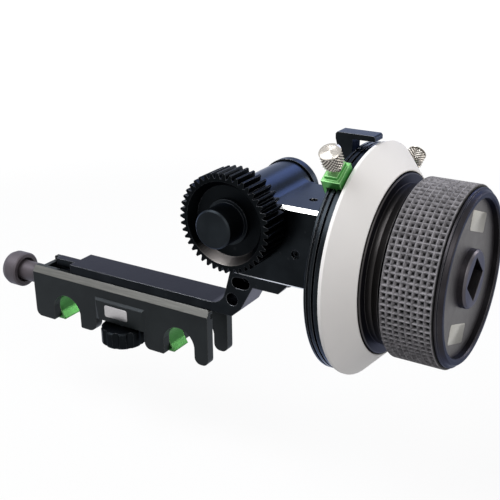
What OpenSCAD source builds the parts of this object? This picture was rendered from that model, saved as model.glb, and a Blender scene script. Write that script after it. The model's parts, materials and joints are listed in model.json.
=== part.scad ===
// Follow focus unit for two support rods.
// +X runs along the handwheel axis towards the wheel, +Y along the rods away from the
// drive gear's face, +Z up. The origin is midway between the rods at their centre height.

/* [Rods and clamp] */
// Diameter of each support rod
rod_d = 15; // [12:0.5:19]
// Distance between the two rods
rod_pitch = 60; // [56:1:70]
// Radial room between a rod and the plates' arches
rod_fit = 0.1; // [0.05:0.05:0.3]
// Width of the clamp along the rods
clamp_w = 17.8; // [16:0.2:24]
// Thickness of each clamp plate
plate_t = 3.7; // [3:0.1:4.5]
// Clamp past the left rod's centre
clamp_left = 18.4; // [17:0.2:24]
// Clamp past the right rod's centre
clamp_right = 14.2; // [13:0.2:20]
// Height of the slide's top face over the rods' centres
rail_top = 18; // [18:0.25:24]
// Height of the light bevel along the top of each plate
bevel_h = 2.6; // [1:0.2:3.4]
// Depth of that bevel
bevel_d = 1.8; // [0.6:0.2:2.4]
// How far the feet and legs hang below the rods' centres
leg_drop = 6.2; // [4:0.2:9]
// Width of the leg right of the left rod
leg_w = 9; // [6:0.5:11]
// Width of the foot left of the right rod
foot_w = 10; // [8.5:0.5:11]
// Length of the raised boss on the front plate
boss_len = 24.4; // [18:0.2:28]
// How far the boss stands out
boss_t = 1; // [0.5:0.1:2]

/* [Jaws] */
// Thickness of the carriage bar over the rods
carriage_t = 4.1; // [3:0.1:4.5]
// Length of each green jaw
jaw_len = 7.9; // [6.5:0.1:9]
// Height of each green jaw
jaw_h = 11.6; // [9:0.2:13]
// Gap between jaw and rod as the jaws rest
jaw_gap = 0.5; // [0.3:0.1:1]
// Diameter of the clamp screw
clamp_screw_d = 4.9; // [4:0.1:5.4]
// Diameter of the fixed sleeve round the clamp screw
sleeve_d = 9; // [7.5:0.25:10]
// Length of that sleeve outside the clamp
sleeve_len = 16; // [10:0.5:20]
// Diameter of the clamp knob
clamp_knob_d = 15.6; // [13:0.2:17]
// Length of the clamp knob
clamp_knob_len = 8.8; // [7:0.2:16]

/* [Lock knob] */
// Diameter of the lock knob
lock_d = 19; // [14:0.2:20]
// Thickness of the lock knob
lock_t = 7.2; // [4:0.1:8]
// Diameter of the lock screw
lock_screw_d = 2.6; // [2:0.1:2.8]

/* [Arm] */
// Width of the arm along the rods
arm_w = 13.6; // [12:0.2:15]
// Thickness of the arm's sliding bar
bar_t = 4; // [3:0.2:6]
// Length of the bar left of the upright
bar_len = 81; // [70:1:95]
// Thickness of the plate under the gearbox
seat_t = 8; // [6:0.5:9]
// Diameter of the arm's accessory hole
arm_hole_d = 5.2; // [4:0.1:6]

/* [Gearbox] */
// Height of the gearbox bottom over the rods' centres
box_z = 40; // [38:0.5:46]
// Length of the gearbox along the wheel axis
box_len = 47.6; // [46:0.2:54]
// Width of the gearbox
box_w = 29; // [28:0.5:34]
// Height of the gearbox
box_h = 29.7; // [29:0.1:34]
// Bevel on the gearbox's edges
box_bevel = 1.2; // [0.4:0.1:2]
// Wall thickness of the gearbox
wall = 3.1; // [2.6:0.1:3.6]
// Diameter of the round drive housing
drum_d = 22.2; // [21.6:0.1:24]
// How far the round housing stands out behind the gearbox
drum_out = 3.2; // [2:0.2:6]
// Diameter of the end cap
cap_d = 23.5; // [20:0.1:26]
// Thickness of the end cap
cap_t = 4; // [3:0.2:6]
// Radius of the hollow where drum and gearbox top meet
drum_fillet = 6; // [3:0.5:8]

/* [Drive gear] */
// Module of the lens gear teeth
gear_module = 0.8; // [0.8:0.1:1]
// Teeth on the drive gear
gear_teeth = 43; // [36:1:50]
// Face width of the drive gear
gear_w = 11.2; // [8:0.2:14]
// Depth of the dish in the gear's face
dish_depth = 3.6; // [2:0.2:5]
// Diameter of the nut cap in the gear's centre
nut_d = 14; // [11:0.5:16]
// How far the nut cap stands out of the gear
nut_out = 6.8; // [4:0.2:9]

/* [Gear train] */
// Height of the drive axis over the wheel axis
axis_step = 13; // [12.5:0.25:14]
// Teeth on each spur gear
spur_teeth = 26; // [24:2:30]
// Teeth on each bevel gear
bevel_teeth = 16; // [14:2:18]
// Module of the bevel gears at their large end
bevel_module = 0.8; // [0.7:0.05:0.85]
// Diameter of the drive shaft
drive_shaft_d = 6; // [5:0.1:7]
// Diameter of the counter shaft
counter_shaft_d = 5; // [4:0.1:5.4]
// Diameter of the wheel shaft
wheel_shaft_d = 8; // [6:0.1:9]
// Radial running clearance of shafts and screws
run_gap = 0.04; // [0.02:0.01:0.08]

/* [Handwheel] */
// Diameter of the flange
flange_d = 80.2; // [76:0.2:90]
// Thickness of the flange
flange_t = 5.5; // [5:0.1:8]
// Diameter of the marking disc
disc_d = 82; // [78:0.2:92]
// Thickness of the marking disc
disc_t = 9.3; // [7:0.1:12]
// Width of the disc's straight rim
disc_rim = 1.2; // [0.6:0.1:3]
// Diameter of the marking disc's hole
disc_hole_d = 63.6; // [63:0.1:68]
// Diameter of the grip
grip_d = 62.2; // [58:0.2:62.4]
// Length of the grip
grip_len = 17.5; // [12:0.5:24]
// Thickness of the grip's rubber
grip_t = 2.9; // [2:0.1:4]
// Flutes round the grip
grip_flutes = 90; // [60:2:100]
// Length of the neck between disc and grip
neck_len = 6.2; // [4:0.2:8]
// Depth of the dish in the wheel's face
face_depth = 2.4; // [2:0.2:5]
// Diameter of the boss in the wheel's face
socket_boss_d = 20; // [18:0.5:24]
// Side of the square socket
socket_side = 11.4; // [8:0.2:12.6]
// Depth of the square socket
socket_depth = 9.4; // [6:0.2:10]

/* [Stops and pointer] */
// Place of the left stop, in degrees from the top
stop_left_at = 32; // [28:1:60]
// Place of the right stop, in degrees from the top
stop_right_at = 60; // [40:1:90]
// Width of a stop along the rim
stop_w = 9; // [7:0.5:12]
// Diameter of a thumb screw's head
thumb_d = 7.4; // [6:0.2:9]
// Height of a thumb screw's head
thumb_h = 7; // [5:0.5:10]
// Width of the pointer
pointer_w = 6; // [4:0.5:9]
// Thickness of the pointer's arm
pointer_t = 1.9; // [1.5:0.1:3]

/* [Hidden] */
$fn = 64;
part_gap = 0.3;                 // room between pieces that slide past each other
skin = 0.6;                     // small steps, lips and bevels

rod_r = rod_d / 2;
arch_r = rod_r + rod_fit;
rod_x = rod_pitch / 2;
plate_out = clamp_w / 2;
plate_in = plate_out - plate_t;
clamp_x0 = -rod_x - clamp_left;
clamp_x1 = rod_x + clamp_right;
under_z = 1.2;                  // underside of the plates between the rods
web_top = arch_r + 1.2;
carriage_z0 = web_top + part_gap;
carriage_z1 = carriage_z0 + carriage_t;
slot_z0 = carriage_z1 + 0.8;    // T slot along the top of the plates
slot_lip = 1.9;                 // thickness of the lips over the slot
slot_d = 1.4;                   // depth of the slot in each plate
slot_z1 = rail_top - slot_lip;
foot_r = 2.8;
end_wall = 2.1;
boss_h = 9.2;
boss_lean = 1.2;

jaw_z0 = -jaw_h / 2 - 0.8;
jaw_x = -rod_x - rod_r - jaw_gap;          // middle of the jaw's hollow
jaw_nose = 2.6;                            // lips of the jaw past that
jaw_y = plate_in - 0.35;
clamp_screw_z = jaw_h / 2 + clamp_screw_d / 2 + 1.7;
rod_step = rod_pitch;

lock_y = -plate_out + plate_t / 2;
lock_z1 = under_z - 0.4;
lock_tip = slot_z0;

bar_z0 = rail_top;
bar_z1 = bar_z0 + bar_t;
arm_y = arm_w / 2;
upright_x = 53;                            // left side of the upright at the bar
bar_x0 = upright_x - bar_len;
tab_len = 10.5;
tab_w = 3.8;
key_x0 = -24;
key_x1 = 40;
key_half = plate_in - part_gap;
key_flange = plate_in + slot_d - part_gap;

drive_x = 65;
wheel_z = box_z + 11;
drive_z = wheel_z + axis_step;
drum_r = drum_d / 2;
box_x0 = drive_x - drum_r;
box_x1 = box_x0 + box_len;
box_y = box_w / 2;
box_z1 = box_z + box_h;
cavity_y = box_y - wall;
cavity_x1 = box_x1 - 17;
cover_t = 2.2;
cover_grip = 4.2;                          // how far the cover's screws reach into the housing
drum_y1 = box_y + drum_out;
seam = 0.5;                                // dark line before the end cap

gear_pitch_r = gear_module * gear_teeth / 2;
gear_y1 = -box_y - 1.4;
gear_y0 = gear_y1 - gear_w;
gear_x = drive_x;
drive_shaft_r = drive_shaft_d / 2;
drive_bearing_r = drive_shaft_r + 3;
rear_bearing_w = drum_y1 - cavity_y - 1.5;

spur_module = axis_step / spur_teeth;
spur_w = 2.8;
spur_y0 = -cavity_y + 1;
counter_shaft_r = counter_shaft_d / 2;
counter_bush_r = counter_shaft_r + 2;
bush_w = wall - 0.7;
bevel_r = bevel_module * bevel_teeth / 2;
bevel_share = 0.64;                        // small end of a bevel over its large end
bevel_face = bevel_r * (1 - bevel_share);
bevel_hub_r = bevel_r * 0.75;
bevel_hub = 3;

wheel_shaft_r = wheel_shaft_d / 2;
wheel_bearing_r = wheel_shaft_r + 4;
wheel_bearing_w = 4;
wheel_gap = 1.8;                           // between gearbox and flange
flange_x0 = box_x1 + wheel_gap;
flange_x1 = flange_x0 + flange_t;
flange_r = flange_d / 2;
groove_r = flange_r - 2;
groove_x = flange_x0 + flange_t * 0.51;    // middle band's right end
groove_w = 0.8;
disc_r = disc_d / 2;
disc_x1 = flange_x1 + disc_t;
disc_hole_r = disc_hole_d / 2;
hub_r = disc_hole_r - 0.5;
hub_x1 = disc_x1 + 0.7;
grip_x0 = hub_x1 + neck_len;
grip_x1 = grip_x0 + grip_len;
grip_r = grip_d / 2;
core_r = grip_r - grip_t;
face_x1 = grip_x1 + 2.6;
face_x0 = face_x1 - face_depth;
face_r = core_r - 1.4;
face_plate_t = 0.8;
socket_r = socket_boss_d / 2;
socket_x1 = face_x1 + part_gap;
socket_x0 = socket_x1 - socket_depth;
shaft_x0 = drive_x + bevel_r * bevel_share + 0.2;
shaft_x1 = socket_x0 - 1.6;
magnet_r = 2.5;
magnet_t = 2;

stop_r0 = flange_r - 3.8;
stop_r1 = flange_r + 4.4;
stop_x0 = flange_x0 - part_gap - 1.2;
stop_x1 = flange_x1 - 0.4;
hook_x0 = groove_x + 0.1;
hook_x1 = groove_x + groove_w - 0.1;
thumb_x = (flange_x0 + groove_x) / 2 + skin;
thumb_r = thumb_d / 2;
thumb_screw_r = 1.5;
pointer_z = wheel_z + flange_r + 1.9;
pointer_x0 = flange_x0 - 8.4;
pointer_x1 = flange_x1 + 0.5;
pointer_leg = flange_x0 - 2.2;
pointer_y = pointer_w / 2;
pointer_foot = 11;
pointer_foot_t = 2.2;
screw_head_r = 2.4;
screw_r = 1.5;

black = "#1d2024";
plate_black = "#2b2f31";
green = "#3fa34d";
silver = "#c9c6c0";
bronze = "#a87a42";

// local z runs along +X
module at_x(x, y = 0, z = 0) translate([x, y, z]) rotate([0, 90, 0]) children();
// local z runs along +Y
module at_y(x, y, z) translate([x, y, z]) rotate([-90, 0, 0]) children();
// an X-Z outline, made solid from y0 to y1
module slab(y0, y1) translate([0, y1, 0]) rotate([90, 0, 0]) linear_extrude(y1 - y0) children();
// a Y-Z outline, made solid from x0 to x1
module bar_along(x0, x1) translate([x0, 0, 0]) rotate([90, 0, 90]) linear_extrude(x1 - x0) children();
module box(from, to) translate(from) cube(to - from);
module tube(h, ro, ri) difference() {
    cylinder(h = h, r = ro);
    translate([0, 0, -1]) cylinder(h = h + 2, r = ri);
}
// a round piece on the wheel axis; its outline is given as [x, radius]
module turned(outline) at_x(0, 0, wheel_z)
    rotate_extrude($fn = 128) polygon([for (p = outline) [p[1], p[0]]]);
// puts what stands up at the top of the wheel at an angle towards -Y
module round_wheel(a) translate([0, 0, wheel_z]) rotate([a, 0, 0]) children();

// outline of a gear whose straight-sided teeth start with one on +X
function gear_outline(n, m, play, top, deep) = let(
    r = m * n / 2,
    half = PI * m / 4 - play / 2,
    slope = tan(20),
    tip = r + top,
    root = r - deep,
    tip_a = (half - top * slope) / tip * 180 / PI,
    root_a = (half + deep * slope) / root * 180 / PI
) [for (i = [0 : n - 1]) for (p = [[root, -root_a], [tip, -tip_a], [tip, tip_a], [root, root_a]])
    let(a = 360 * i / n + p[1]) p[0] * [cos(a), sin(a)]];

// a bar that hangs from z1 to z0 with its lower corners rounded
module hanging(x0, x1, z0, z1, rl, rr) {
    translate([x0 + rl, z0]) square([x1 - x0 - rl - rr, z1 - z0]);
    translate([x0, z0 + rl]) square([rl + 0.01, z1 - z0 - rl]);
    translate([x1 - rr - 0.01, z0 + rr]) square([rr + 0.01, z1 - z0 - rr]);
    translate([x0 + rl, z0 + rl]) circle(rl);
    translate([x1 - rr, z0 + rr]) circle(rr);
}

// ---- clamp ----
module plate_outline() difference() {
    union() {
        translate([clamp_x0, under_z]) square([clamp_x1 - clamp_x0, slot_z0 - under_z]);
        hanging(clamp_x0, -rod_x - arch_r, -leg_drop + skin, slot_z0, foot_r, skin);
        hanging(-rod_x + arch_r, -rod_x + arch_r + leg_w, -leg_drop + skin, slot_z0, skin, leg_w / 2);
        hanging(rod_x - arch_r - foot_w, rod_x - arch_r, -leg_drop, slot_z0, foot_r, skin);
        hanging(rod_x + arch_r, clamp_x1, -leg_drop, slot_z0, foot_r, foot_r);
    }
    for (x = [-rod_x, rod_x]) {
        translate([x, 0]) circle(arch_r);
        translate([x - arch_r, -leg_drop - 1]) square([2 * arch_r, leg_drop + 1]);
    }
}
// the plate's top edge: a T slot inside, a bevel outside
module rail_outline() polygon([
    [plate_in, slot_z0 - 0.01], [plate_out, slot_z0 - 0.01], [plate_out, rail_top - bevel_h],
    [plate_out - bevel_d, rail_top], [plate_in, rail_top], [plate_in, slot_z1],
    [plate_in + slot_d, slot_z1], [plate_in + slot_d, slot_z0]]);
module clamp_plate() {
    slab(plate_in, plate_out) plate_outline();
    intersection() {
        bar_along(clamp_x0, clamp_x1) rail_outline();
        slab(0, clamp_w) translate([0, slot_z0 + rail_top]) mirror([0, 1])
            hanging(clamp_x0, clamp_x1, slot_z0, rail_top + 1, skin, bevel_h / 2);
    }
}
module boss() hull() {
    box([-boss_len / 2 - boss_t, -plate_out, under_z], [boss_len / 2 + boss_t, -plate_out + 0.1, under_z + boss_h + boss_t]);
    box([-boss_len / 2, -plate_out - boss_t, under_z + boss_h - 0.1], [boss_len / 2, -plate_out, under_z + boss_h]);
    box([-boss_len / 2 + boss_lean, -plate_out - boss_t, under_z + skin], [boss_len / 2 - boss_lean, -plate_out, under_z + boss_h]);
}
module clamp_body() color(plate_black) difference() {
    union() {
        clamp_plate();
        mirror([0, 1, 0]) clamp_plate();
        box([-rod_x + arch_r, -plate_in - 0.01, under_z], [rod_x - arch_r - foot_w, plate_in + 0.01, web_top]);
        box([clamp_x0, -plate_in - 0.01, -leg_drop + foot_r], [clamp_x0 + end_wall, plate_in + 0.01, slot_z1]);
        boss();
    }
    at_x(clamp_x0 - 1, 0, clamp_screw_z) cylinder(h = end_wall + 2, r = clamp_screw_d / 2 + run_gap);
    translate([0, lock_y, under_z - 1]) cylinder(h = slot_z0 + 1 + part_gap - under_z, r = lock_screw_d / 2 + run_gap);
}
module screw_sleeve() color(plate_black) at_x(clamp_x0 - sleeve_len, 0, clamp_screw_z)
    tube(sleeve_len, sleeve_d / 2, clamp_screw_d / 2 + run_gap);

// ---- jaws ----
module carriage_block(x) box([x, -jaw_y, jaw_h / 2], [x + jaw_len, jaw_y, carriage_z1]);
module jaw_carriage() color(black) difference() {
    union() {
        box([jaw_x - jaw_len + jaw_nose, -jaw_y, carriage_z0], [jaw_x + rod_step + jaw_nose, jaw_y, carriage_z1]);
        for (x = [0, rod_step]) carriage_block(jaw_x - jaw_len + jaw_nose + x);
    }
    at_x(jaw_x - jaw_len, 0, clamp_screw_z) cylinder(h = 2 * jaw_len, r = clamp_screw_d / 2 + run_gap);
    for (x = [-rod_x, rod_x]) at_y(x, -plate_in, 0) cylinder(h = clamp_w, r = arch_r + jaw_gap);
}
module jaw(x) difference() {
    box([x - jaw_len + jaw_nose, -jaw_y, jaw_z0], [x + jaw_nose, jaw_y, jaw_h / 2]);
    at_y(x + rod_r + rod_fit, -clamp_w, 0) cylinder(h = 2 * clamp_w, r = rod_r + rod_fit);
    slab(-clamp_w, clamp_w) polygon([[x + 0.9, jaw_z0 + 3], [x + jaw_nose + 0.4, jaw_z0 - 1],
        [x + jaw_nose + 2, jaw_z0 - 1], [x + jaw_nose + 2, jaw_z0 + 3]]);
}
module jaw_left() color(green) jaw(jaw_x);
module jaw_right() color(green) jaw(jaw_x + rod_step);

// ---- clamp knob ----
knob_x1 = clamp_x0 - sleeve_len + 2.5;
knob_x0 = knob_x1 - clamp_knob_len;
knob_edge = 3;
module clamp_knob() color(plate_black) at_x(0, 0, clamp_screw_z) rotate_extrude() polygon([
    [clamp_screw_d / 2, knob_x0], [clamp_knob_d / 2 - knob_edge, knob_x0],
    [clamp_knob_d / 2 - 0.3 * knob_edge, knob_x0 + 0.3 * knob_edge],
    [clamp_knob_d / 2, knob_x0 + knob_edge], [clamp_knob_d / 2, knob_x1 - skin],
    [clamp_knob_d / 2 - skin, knob_x1], [sleeve_d / 2 + 1.2, knob_x1],
    [sleeve_d / 2 + part_gap, knob_x1 - 2], [sleeve_d / 2 + part_gap, clamp_x0 - sleeve_len - part_gap],
    [clamp_screw_d / 2, clamp_x0 - sleeve_len - part_gap]]);
module clamp_screw() color(silver) at_x(knob_x0, 0, clamp_screw_z)
    cylinder(h = jaw_x - 1.8 - knob_x0, r = clamp_screw_d / 2);

// ---- lock knob ----
lock_scallops = 10;
module lock_knob() color(black) translate([0, lock_y, lock_z1 - lock_t]) difference() {
    rotate_extrude() polygon([[lock_screw_d / 2, 0], [lock_d / 2 - skin, 0], [lock_d / 2, skin],
        [lock_d / 2, lock_t - skin], [lock_d / 2 - skin, lock_t], [lock_screw_d / 2, lock_t]]);
    for (i = [1 : lock_scallops]) rotate(360 * i / lock_scallops)
        translate([lock_d / 2 + 1.1, 0, -1]) cylinder(h = lock_t + 2, r = 2, $fn = 32);
}
module lock_screw() color(silver) translate([0, lock_y, lock_z1 - lock_t])
    cylinder(h = lock_tip - lock_z1 + lock_t, r = lock_screw_d / 2);

// ---- arm ----
arm_hole = [54.7, 25.2];
arm_slot = [57, 32.6];
arm_slot_len = 3.4;
arm_slot_r = 2.3;
lean = 1.9;
module arm_outline() difference() {
    polygon([[bar_x0, bar_z0], [upright_x + 1.4, bar_z0], [upright_x + 5.4, bar_z0 + 3.6],
        [upright_x + 11, box_z - seat_t], [upright_x + 22, box_z - seat_t],
        [upright_x + 22 + seat_t - 0.4, box_z], [upright_x + lean, box_z],
        [upright_x - 1.2, bar_z1 + 6.4], [upright_x - 8, bar_z1], [bar_x0, bar_z1]]);
    translate([upright_x - 8.2, bar_z1 + 6.8]) circle(6.8);
}
module arm_screw_places() for (x = [-5, 2]) translate([upright_x + 19.5 + x, 0, 0]) children();
key_screw_places = [-16, 32];
module arm() color(black) difference() {
    union() {
        slab(-arm_y, arm_y) arm_outline();
        box([bar_x0 - tab_len, -tab_w, bar_z0 + 0.4], [bar_x0 + 0.01, 0, bar_z1]);
    }
    at_y(arm_hole[0], -arm_w, arm_hole[1]) cylinder(h = 2 * arm_w, r = arm_hole_d / 2);
    slab(-arm_y - 1, -arm_y + 7) {
        translate(arm_slot) circle(arm_slot_r);
        translate(arm_slot + [arm_slot_len, 0.3]) circle(arm_slot_r);
        translate(arm_slot - [0, arm_slot_r]) square([arm_slot_len, 2 * arm_slot_r]);
    }
    arm_screw_places() {
        translate([0, 0, box_z - seat_t - 1]) cylinder(h = seat_t - 2, r = screw_head_r + 0.2);
        translate([0, 0, box_z - seat_t]) cylinder(h = seat_t + 1, r = screw_r + 0.1);
    }
    for (x = key_screw_places) translate([x, 0, bar_z0 - 1]) cylinder(h = bar_t - 0.6, r = screw_r);
}
module slide_key() color(silver) difference() {
    union() {
        box([key_x0, -key_half, slot_z0 + part_gap], [key_x1, key_half, bar_z0]);
        box([key_x0, -key_flange, slot_z0 + part_gap], [key_x1, key_flange, slot_z1 - part_gap]);
    }
    for (x = key_screw_places) translate([x, 0, slot_z0 - 1]) {
        cylinder(h = rail_top, r = screw_r);
        cylinder(h = 3, r = screw_head_r);
    }
}
module key_screws() color(silver) for (x = key_screw_places) translate([x, 0, slot_z0 + part_gap]) {
    cylinder(h = 2 - part_gap, r = screw_head_r);
    cylinder(h = bar_z0 + bar_t - 1.8 - slot_z0 - part_gap, r = screw_r);
}
module arm_screws() color(silver) arm_screw_places() difference() {
    union() {
        translate([0, 0, box_z - seat_t + 1]) cylinder(h = seat_t - 4, r = screw_head_r);
        translate([0, 0, box_z - seat_t + 2]) cylinder(h = seat_t - 2 + cover_t, r = screw_r);
    }
    translate([0, 0, box_z - seat_t]) cylinder(h = 2.4, r = 1.4, $fn = 6);
}

// ---- gearbox ----
fillet_dz = box_z1 + drum_fillet - drive_z;
fillet_x = drive_x + sqrt(pow(drum_r + drum_fillet, 2) - pow(fillet_dz, 2));
touch = drum_r / (drum_r + drum_fillet);
module body_outline() {
    translate([box_x0, box_z]) square([box_len, drive_z - box_z]);
    translate([drive_x, box_z]) square([box_x1 - drive_x, box_h]);
    translate([drive_x, drive_z]) circle(drum_r);
    difference() {
        polygon([[drive_x, drive_z], [fillet_x, drive_z], [fillet_x, box_z1],
            [drive_x + touch * (fillet_x - drive_x), drive_z + touch * fillet_dz]]);
        translate([fillet_x, box_z1 + drum_fillet]) circle(drum_fillet);
    }
}
module edge_bevel(x0, z, c) for (s = [-1, 1]) translate([x0, s * box_y, z]) rotate([45, 0, 0])
    translate([0, -c / sqrt(2), -c / sqrt(2)]) cube([box_len + 2, c * sqrt(2), c * sqrt(2)]);
cover_posts = [cavity_x1 - 5.6, cavity_x1 + 6];
cover_screw_y = cavity_y - 2.4;
module cover_places() for (x = cover_posts, s = [-1, 1]) translate([x, s * cover_screw_y, 0]) children();
module gearbox_housing() color(black) difference() {
    union() {
        slab(-box_y, box_y) body_outline();
        at_y(drive_x, 0, drive_z) cylinder(h = drum_y1, r = drum_r);
    }
    difference() {
        union() {
            box([box_x0 + wall - 0.6, -cavity_y, box_z + cover_t - 0.01], [cavity_x1, cavity_y, box_z1 - wall]);
            at_y(drive_x, -cavity_y, drive_z) cylinder(h = 2 * cavity_y, r = drum_r - 2.2);
        }
        for (s = [-1, 1]) translate([cover_posts[0], s * (cavity_y - 1.2), box_z]) cylinder(h = 10, r = 3.4);
    }
    box([box_x0 + wall - 0.6, -cavity_y, box_z - 1], [box_x1 - 2, cavity_y, box_z + cover_t]);
    at_y(drive_x, -box_y - 1, drive_z) cylinder(h = wall + 2, r = drive_bearing_r);
    at_y(drive_x, cavity_y - 1, drive_z) cylinder(h = drum_out + wall + 2, r = drive_bearing_r);
    at_y(drive_x, -cavity_y - bush_w, wheel_z) cylinder(h = 2 * (cavity_y + bush_w), r = counter_bush_r);
    at_x(cavity_x1 - 1, 0, wheel_z) cylinder(h = box_x1 - cavity_x1 + 2, r = wheel_bearing_r);
    cover_places() translate([0, 0, box_z + cover_t - 1]) cylinder(h = cover_grip + 1.2, r = screw_r);
    edge_bevel(fillet_x + 1, box_z1, box_bevel);
    edge_bevel(box_x0 - 1, box_z, box_bevel * 0.6);
    grub_front() translate([0, 0, -1]) cylinder(h = grub_reach_y + 2, r = grub_r);
    grub_top() translate([0, 0, -1]) cylinder(h = grub_reach_z + 2, r = grub_r);
    // the pointer's foot lies in here
    box([pointer_leg - pointer_foot, -pointer_y, box_z1 - pointer_foot_t], [box_x1 + 1, pointer_y, box_z1 + 1]);
    pointer_screw_at() translate([0, 0, -6]) cylinder(h = 5, r = screw_r);
}
module bottom_cover() color(black) difference() {
    box([box_x0 + wall - 0.6, -cavity_y, box_z], [box_x1 - 2, cavity_y, box_z + cover_t]);
    arm_screw_places() translate([0, 0, box_z - 1]) cylinder(h = cover_t + 2, r = screw_r);
    cover_places() translate([0, 0, box_z - 1]) {
        cylinder(h = cover_t + 2, r = screw_r);
        cylinder(h = 2.5, r = screw_head_r);
    }
}
module cover_screws() color(silver) cover_places() difference() {
    union() {
        translate([0, 0, box_z]) cylinder(h = 1.5, r = screw_head_r);
        translate([0, 0, box_z]) cylinder(h = cover_t + cover_grip, r = screw_r);
    }
    translate([0, 0, box_z - 1]) cylinder(h = 2, r = 1.1, $fn = 6);
}
module end_cap() color(plate_black) at_y(drive_x, 0, drive_z) rotate_extrude() polygon([
    [0, drum_y1], [drum_r - 0.8, drum_y1], [drum_r - 0.8, drum_y1 + seam], [cap_d / 2, drum_y1 + seam],
    [cap_d / 2, drum_y1 + seam + cap_t - 1], [cap_d / 2 - 1, drum_y1 + seam + cap_t], [0, drum_y1 + seam + cap_t]]);

module bearing(w, ro, ri) difference() {
    tube(w, ro, ri);
    for (z = [-1, w - 0.3]) translate([0, 0, z]) tube(1.3, ro - 1, ri + 1);
}
module drive_bearing_front() color(silver) at_y(drive_x, -box_y, drive_z)
    bearing(wall, drive_bearing_r, drive_shaft_r + run_gap);
module drive_bearing_rear() color(silver) at_y(drive_x, cavity_y, drive_z)
    bearing(rear_bearing_w, drive_bearing_r, drive_shaft_r + run_gap);
module counter_bushes() color(bronze) for (y = [-cavity_y - bush_w, cavity_y]) at_y(drive_x, y, wheel_z)
    tube(bush_w, counter_bush_r, counter_shaft_r + run_gap);
module wheel_bearing_inner() color(silver) at_x(cavity_x1, 0, wheel_z)
    bearing(wheel_bearing_w, wheel_bearing_r, wheel_shaft_r + run_gap);
module wheel_bearing_outer() color(silver) at_x(box_x1 - wheel_bearing_w, 0, wheel_z)
    bearing(wheel_bearing_w, wheel_bearing_r, wheel_shaft_r + run_gap);
module bearing_spacer() color(silver) at_x(cavity_x1 + wheel_bearing_w, 0, wheel_z)
    tube(box_x1 - cavity_x1 - 2 * wheel_bearing_w, wheel_bearing_r, wheel_bearing_r - 1.6);
module bearing_cover() color(black) at_x(box_x1, 0, wheel_z)
    tube(1, wheel_bearing_r + 2.4, wheel_shaft_r + 0.8);

grub_r = 1.6;
grub_x = cavity_x1 + 1.8;
grub_reach_y = box_y - wheel_bearing_r;
grub_reach_z = box_z1 - wheel_z - wheel_bearing_r;
module grub_front() at_y(grub_x, -box_y, wheel_z + 1.8) children();
module grub_top() translate([grub_x + 1, -3.6, box_z1]) mirror([0, 0, 1]) children();
module grub_screws() color(silver) {
    grub_front() grub(grub_reach_y);
    grub_top() grub(grub_reach_z);
}
// the screw's far end stops at the bearing
module grub(reach) translate([0, 0, 0.6]) difference() {
    cylinder(h = reach - 0.6, r = grub_r);
    translate([0, 0, -1]) cylinder(h = 2, r = 0.8, $fn = 6);
}

// ---- pointer ----
module pointer_screw_at() translate([pointer_leg - pointer_foot + screw_head_r + 0.8, 0, box_z1]) children();
module pointer() color(black) difference() {
    slab(-pointer_y, pointer_y) polygon([
        [pointer_leg - pointer_foot, box_z1 - pointer_foot_t], [pointer_leg, box_z1 - pointer_foot_t],
        [pointer_leg, pointer_z],
        [pointer_x1, pointer_z], [pointer_x1, pointer_z + pointer_t - skin],
        [pointer_x1 - skin, pointer_z + pointer_t], [pointer_x0 + skin, pointer_z + pointer_t],
        [pointer_x0, pointer_z + pointer_t - skin],
        [pointer_x0, pointer_z - 0.4], [pointer_leg - 3.6, pointer_z - 9],
        [pointer_leg - 3.6, box_z1 + 1.4], [pointer_leg - 5, box_z1], [pointer_leg - pointer_foot, box_z1]]);
    pointer_screw_at() {
        translate([0, 0, -5]) cylinder(h = 5, r = screw_r + 0.1);
        translate([0, 0, -1.4]) cylinder(h = 2, r = screw_head_r + 0.1);
    }
}
module pointer_screw() color(silver) pointer_screw_at() difference() {
    union() {
        translate([0, 0, -5.5]) cylinder(h = 5, r = screw_r);
        translate([0, 0, -1.4]) cylinder(h = 1.2, r = screw_head_r);
    }
    translate([0, 0, -1]) cylinder(h = 2, r = 1.2, $fn = 6);
}

// ---- drive gear ----
module drive_gear() color(black) at_y(gear_x, gear_y0, drive_z) difference() {
    rotate(180 / gear_teeth) linear_extrude(gear_w)
        polygon(gear_outline(gear_teeth, gear_module, 0, gear_module, 1.25 * gear_module));
    translate([0, 0, -0.01]) cylinder(h = dish_depth, r1 = gear_pitch_r - 2.1, r2 = gear_pitch_r - 4.3);
    translate([0, 0, -1]) cylinder(h = gear_w + 2, r = drive_shaft_r);
}
module gear_nut() color(plate_black) at_y(gear_x, gear_y0, drive_z) rotate_extrude() polygon([
    [0, -nut_out], [nut_d / 2 - skin, -nut_out], [nut_d / 2, skin - nut_out], [nut_d / 2, dish_depth - 1.2],
    [nut_d / 2 + 1.2, dish_depth - 1.2], [nut_d / 2 + 1.2, dish_depth - 0.01],
    [drive_shaft_r, dish_depth - 0.01], [drive_shaft_r, 0.6 - nut_out / 2], [0, 0.6 - nut_out / 2]]);
module drive_shaft() color(silver) at_y(drive_x, gear_y0 + 0.6 - nut_out / 2, drive_z)
    cylinder(h = cavity_y + rear_bearing_w - gear_y0 - 0.6 + nut_out / 2, r = drive_shaft_r);

// ---- gear train ----
spur_play = 0.12;
module spur(bore) difference() {
    linear_extrude(spur_w)
        polygon(gear_outline(spur_teeth, spur_module, spur_play, 0.9 * spur_module, 1.25 * spur_module));
    translate([0, 0, -1]) cylinder(h = spur_w + 2, r = bore);
}
module drive_spur() color(bronze) at_y(drive_x, spur_y0, drive_z) rotate(90 + 180 / spur_teeth) spur(drive_shaft_r);
module counter_spur() color(bronze) at_y(drive_x, spur_y0, wheel_z) rotate(90) spur(counter_shaft_r);
module counter_shaft() color(silver) at_y(drive_x, -cavity_y - bush_w, wheel_z)
    cylinder(h = 2 * (cavity_y + bush_w), r = counter_shaft_r);

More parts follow.
